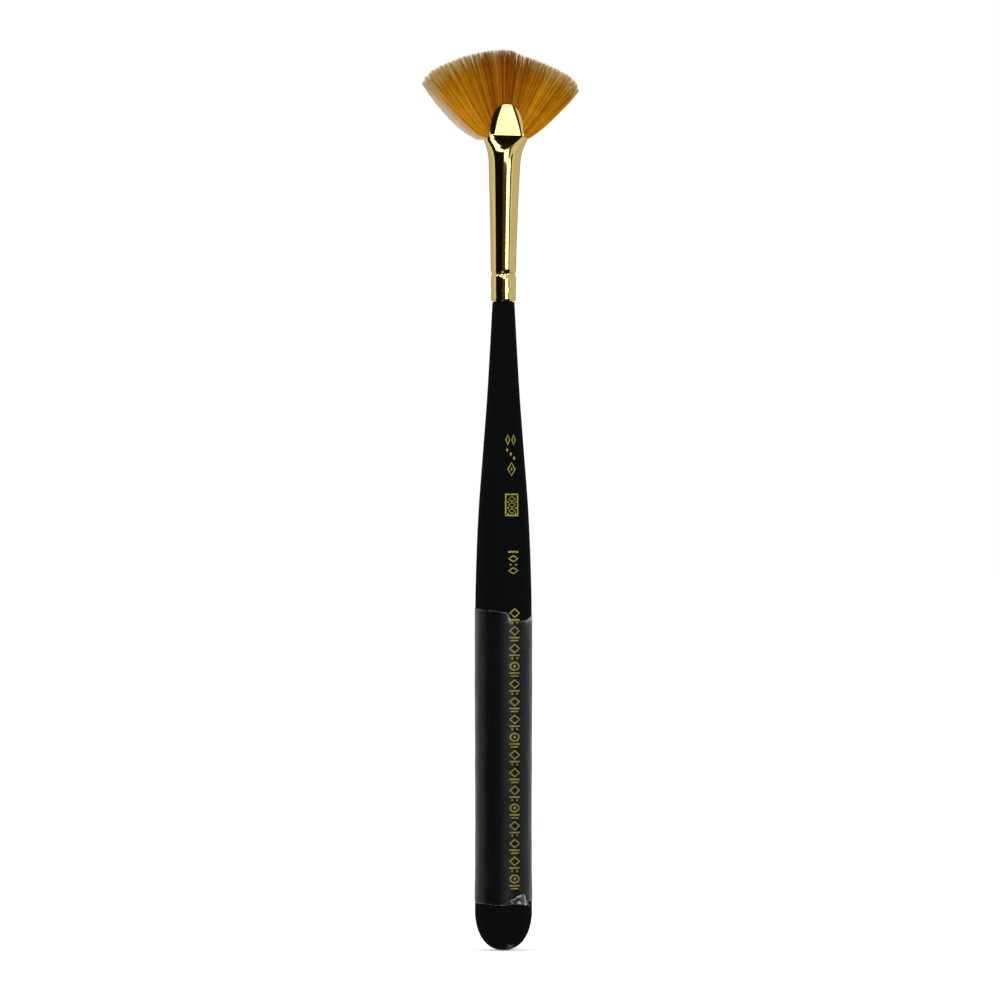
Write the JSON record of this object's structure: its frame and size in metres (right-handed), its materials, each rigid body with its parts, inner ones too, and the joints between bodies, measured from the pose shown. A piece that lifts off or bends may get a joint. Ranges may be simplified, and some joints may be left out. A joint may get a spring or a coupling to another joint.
{
  "type": "fan paint brush",
  "caption": "Short-handled artist's fan brush: black lacquered wooden handle, gold-plated pressed ferrule and a springy fan of amber synthetic filaments.",
  "frame": {"origin": "the lowest point of the handle's rounded tail, on the brush's axis", "axes": "+Z along the brush from the tail to the top of the fan; +X along the fan's width; the front flat of the fan and of the ferrule's mouth faces -Y"},
  "size_m": [0.021, 0.0078, 0.12],
  "materials": {
    "black_lacquer": "turned wood under satin black lacquer",
    "gold_plate": "polished gold-plated brass",
    "wood_cement": "set cement",
    "epoxy": "set clear epoxy",
    "binding_thread": "waxed thread",
    "amber_filament": "dyed tapered synthetic filament",
    "clear_film": "clear glossy film",
    "gold_foil": "hot-stamped gold foil"
  },
  "bodies": {
    "brush": {"handle": "black_lacquer", "ferrule": "gold_plate", "tenon_cement": "wood_cement", "root_epoxy": "epoxy", "root_thread": "binding_thread", "filament_roots": "amber_filament", "film_sleeve": "clear_film"},
    "tuft": {"filament_tips": "amber_filament"}
  },
  "joints": [
    {"name": "tuft_flex", "type": "hinge", "parent": "brush", "child": "tuft", "pos_m": [0, 0, 0.113], "axis": [1, 0, 0], "range_deg": [-45, 45], "stiffness_Nm_per_rad": 0.0006}
  ]
}
